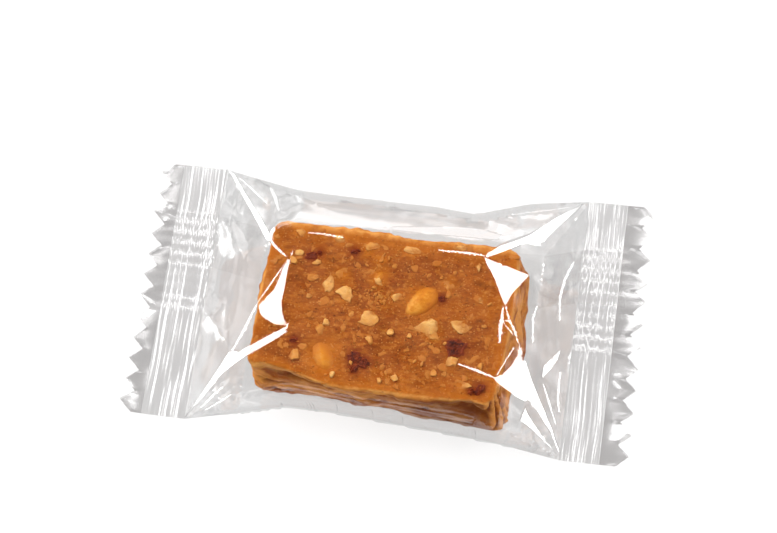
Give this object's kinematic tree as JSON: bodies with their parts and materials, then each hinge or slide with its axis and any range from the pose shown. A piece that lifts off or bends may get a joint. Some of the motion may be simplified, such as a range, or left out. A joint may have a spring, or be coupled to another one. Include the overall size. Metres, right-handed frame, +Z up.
{
  "type": "wrapped peanut candy",
  "caption": "Soft peanut candy bar sealed in a clear film flow wrap with crimped, zigzag-cut end seals and a folded fin seam underneath.",
  "frame": {"origin": "on the surface that the wrap rests on, under the middle of its box", "axes": "+X along the wrap from one end seal to the other, +Y to the side that the long seam's fin is folded to, +Z up through the shown side"},
  "size_m": [0.0842, 0.044, 0.0106],
  "materials": {
    "film": "thin clear polypropylene film, unprinted, glossy, with sharp white highlights along its creases",
    "candy": "soft kneaded caramel-brown peanut paste, slightly waxy, with flaky layers at its sides",
    "peanut": "chopped roasted peanut, pale where it is broken and golden where it is whole",
    "skin": "dark red-brown peanut skin in small crumpled flakes"
  },
  "bodies": {
    "root": {"wrapped_candy": "film"}
  },
  "joints": []
}
